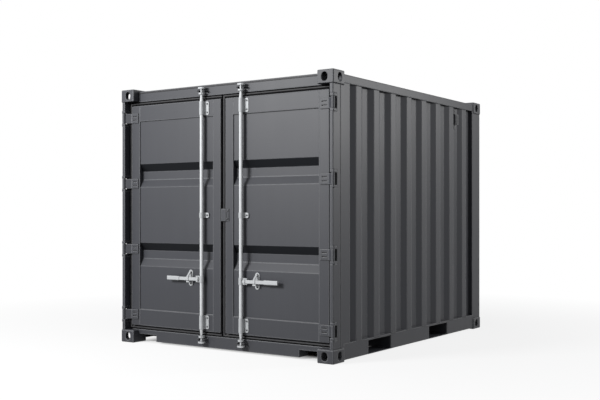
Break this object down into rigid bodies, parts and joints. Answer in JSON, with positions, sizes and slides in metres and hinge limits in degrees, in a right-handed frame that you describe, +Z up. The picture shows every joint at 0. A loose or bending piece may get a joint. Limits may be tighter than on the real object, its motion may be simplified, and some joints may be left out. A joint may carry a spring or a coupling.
{
  "type": "shipping container",
  "caption": "Short steel freight container with corrugated walls, corner castings, fork pockets and a double door closed by turning lock bars with lift handles.",
  "frame": {"origin": "on the ground under the middle of the box", "axes": "+X to the right as seen from in front of the doors, +Y from the doors to the blind end, +Z up"},
  "size_m": [2.438, 2.991, 2.438],
  "materials": {
    "paint": "semi-gloss anthracite grey paint",
    "galvanised": "bright zinc coating",
    "rubber": "black seal rubber",
    "plywood": "sealed plywood",
    "vent_plastic": "moulded, painted over with the wall"
  },
  "bodies": {
    "container": {"top_corner_castings": "paint", "bottom_corner_castings": "paint", "left_front_post": "paint", "right_front_post": "paint", "left_rear_post": "paint", "right_rear_post": "paint", "door_header": "paint", "door_sill": "paint", "rear_top_rail": "paint", "rear_bottom_rail": "paint", "left_top_rail": "paint", "right_top_rail": "paint", "left_bottom_rail": "paint", "right_bottom_rail": "paint", "left_side_panel": "paint", "right_side_panel": "paint", "rear_end_panel": "paint", "roof_panel": "paint", "floor_boards": "plywood", "cross_members": "paint", "fork_pockets": "paint", "left_hinge_lugs": "paint", "right_hinge_lugs": "paint", "cam_keepers": "paint", "side_vents": "vent_plastic"},
    "left_door": {"left_door_frame": "paint", "left_door_panel": "paint", "left_door_seal": "rubber", "left_hinge_blades": "paint", "left_bar_brackets": "galvanised", "left_handle_catch": "galvanised"},
    "left_bar": {"left_lock_bar": "galvanised", "left_bar_fittings": "galvanised"},
    "left_handle_arm": {"left_handle": "galvanised"},
    "right_door": {"right_door_frame": "paint", "right_door_panel": "paint", "right_door_seal": "rubber", "right_hinge_blades": "paint", "right_bar_brackets": "galvanised", "right_handle_catch": "galvanised", "centre_cover_plate": "paint"},
    "right_bar": {"right_lock_bar": "galvanised", "right_bar_fittings": "galvanised"},
    "right_handle_arm": {"right_handle": "galvanised"}
  },
  "joints": [
    {"name": "left_door_hinge", "type": "hinge", "parent": "container", "child": "left_door", "pos_m": [-1.203, -1.4755, 1.216], "axis": [0, 0, -1], "range_deg": [0, 265]},
    {"name": "left_bar_turn", "type": "hinge", "parent": "left_door", "child": "left_bar", "pos_m": [-0.228, -1.4605, 1.227], "axis": [0, 0, -1], "range_deg": [-100, 0]},
    {"name": "left_handle_lift", "type": "hinge", "parent": "left_bar", "child": "left_handle_arm", "pos_m": [-0.272, -1.4765, 0.643], "axis": [0, -1, 0], "range_deg": [-15, 0]},
    {"name": "right_door_hinge", "type": "hinge", "parent": "container", "child": "right_door", "pos_m": [1.203, -1.4755, 1.216], "axis": [0, 0, 1], "range_deg": [0, 265]},
    {"name": "right_bar_turn", "type": "hinge", "parent": "right_door", "child": "right_bar", "pos_m": [0.228, -1.4605, 1.227], "axis": [0, 0, 1], "range_deg": [-100, 0]},
    {"name": "right_handle_lift", "type": "hinge", "parent": "right_bar", "child": "right_handle_arm", "pos_m": [0.272, -1.4765, 0.643], "axis": [0, 1, 0], "range_deg": [-15, 0]}
  ]
}
